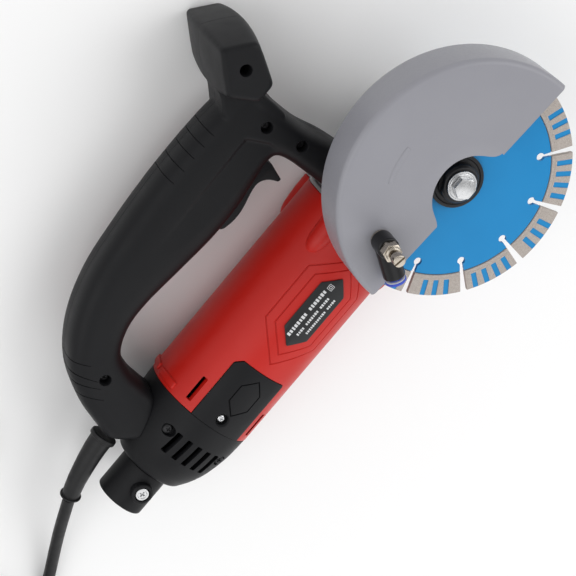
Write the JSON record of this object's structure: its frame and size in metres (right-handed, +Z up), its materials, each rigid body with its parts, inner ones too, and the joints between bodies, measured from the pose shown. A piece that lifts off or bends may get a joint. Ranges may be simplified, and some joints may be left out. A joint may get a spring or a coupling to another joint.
{
  "type": "wall chaser",
  "caption": "Hand-held electric wall chaser with a segmented diamond blade in a half guard, a loop handle with a cross grip, a water fitting and a coiled cord.",
  "frame": {"origin": "where the spindle axis meets the floor, at the centre of the gear-case foot, with the tool lying on its left side", "axes": "+X forward along the motor axis, +Y towards the loop handle, +Z up along the spindle axis from the foot to the blade"},
  "size_m": [0.6448, 0.25, 0.1575],
  "materials": {
    "red_plastic": "satin moulded, fine texture",
    "black_plastic": "satin moulded, fine texture",
    "nameplate_film": "satin printed film",
    "zinc_steel": "bright zinc plated",
    "machined_steel": "ground",
    "blackened_steel": "black oxide",
    "laminated_steel": "varnished stack",
    "copper": "enamelled",
    "carbon": "dull",
    "nickel_brass": "nickel plated",
    "cast_aluminium": "as cast",
    "grey_paint": "powder coated",
    "blade_paint": "satin paint, bare segments",
    "blue_plastic": "smooth",
    "cord_rubber": "matt"
  },
  "bodies": {
    "root": {"motor_housing": "red_plastic", "rear_cap": "black_plastic", "pole_socket": "black_plastic", "socket_clamp_screw": "zinc_steel", "brush_cover_right": "black_plastic", "brush_cover_left": "black_plastic", "brush_cover_screw_right": "zinc_steel", "brush_cover_screw_left": "zinc_steel", "nameplate": "nameplate_film", "rear_cap_screw_1": "blackened_steel", "rear_cap_screw_2": "blackened_steel", "stator_core": "laminated_steel", "field_coil_right": "copper", "field_coil_left": "copper", "brush_holder_right": "nickel_brass", "brush_holder_left": "nickel_brass", "carbon_brush_right": "carbon", "carbon_brush_left": "carbon", "brush_spring_right": "machined_steel", "brush_spring_left": "machined_steel", "rear_bearing": "machined_steel", "pinion_bearing": "machined_steel", "gear_case": "cast_aluminium", "bearing_cover": "cast_aluminium", "spindle_bearing": "machined_steel", "top_bearing": "machined_steel", "guard": "grey_paint", "guard_clamp_screw": "zinc_steel", "water_stem": "nickel_brass", "water_nut": "nickel_brass", "handle_shell_right": "black_plastic", "handle_shell_left": "black_plastic", "handle_screw_1": "blackened_steel", "handle_screw_2": "blackened_steel", "handle_screw_3": "blackened_steel", "handle_screw_4": "blackened_steel", "trigger_pin": "machined_steel", "switch_body": "black_plastic", "strain_relief": "cord_rubber", "cord": "cord_rubber", "cord_coil": "cord_rubber", "cord_tail": "cord_rubber", "plug": "cord_rubber"},
    "spindle": {"spindle": "machined_steel", "crown_gear": "machined_steel", "inner_flange": "machined_steel", "blade": "blade_paint", "outer_flange": "blackened_steel", "flange_washer": "zinc_steel", "spindle_bolt": "zinc_steel"},
    "armature": {"armature_shaft": "machined_steel", "pinion_gear": "machined_steel", "armature_core": "laminated_steel", "commutator": "copper", "fan": "black_plastic"},
    "trigger": {"trigger": "black_plastic"},
    "lock_button": {"lock_button": "red_plastic"},
    "needle_screw": {"needle_screw": "nickel_brass"},
    "hose_elbow": {"hose_elbow": "black_plastic"},
    "release_collar": {"release_collar": "blue_plastic"}
  },
  "joints": [
    {"name": "spindle_spin", "type": "hinge", "parent": "root", "child": "spindle", "pos_m": [0, 0, 0.04], "axis": [0, 0, 1], "continuous": true},
    {"name": "armature_spin", "type": "hinge", "parent": "root", "child": "armature", "pos_m": [-0.14, 0, 0.04], "axis": [1, 0, 0], "continuous": true},
    {"name": "trigger_squeeze", "type": "hinge", "parent": "root", "child": "trigger", "pos_m": [-0.116, 0.086, 0.04], "axis": [0, 0, 1], "range_deg": [0, 7], "stiffness_Nm_per_rad": 1.2, "springref_deg": -6.88},
    {"name": "lock_button_press", "type": "slide", "parent": "root", "child": "lock_button", "axis": [0, 0, 1], "range_m": [0, 0.003], "stiffness_N_per_m": 300, "springref_m": -0.002},
    {"name": "needle_screw_turn", "type": "hinge", "parent": "root", "child": "needle_screw", "pos_m": [-0.0545, 0.029, 0.15], "axis": [0, 0, 1], "range_deg": [0, 1080]},
    {"name": "hose_elbow_swivel", "type": "hinge", "parent": "root", "child": "hose_elbow", "pos_m": [-0.0545, 0.029, 0.1332], "axis": [0, 0, 1], "continuous": true},
    {"name": "release_collar_press", "type": "slide", "parent": "hose_elbow", "child": "release_collar", "axis": [0.5163, 0.8564, 0], "range_m": [0, 0.0015], "stiffness_N_per_m": 400, "springref_m": -0.002}
  ],
  "couplings": [
    {"joint": "armature_spin", "follows": "spindle_spin", "ratio": 3.4545}
  ]
}
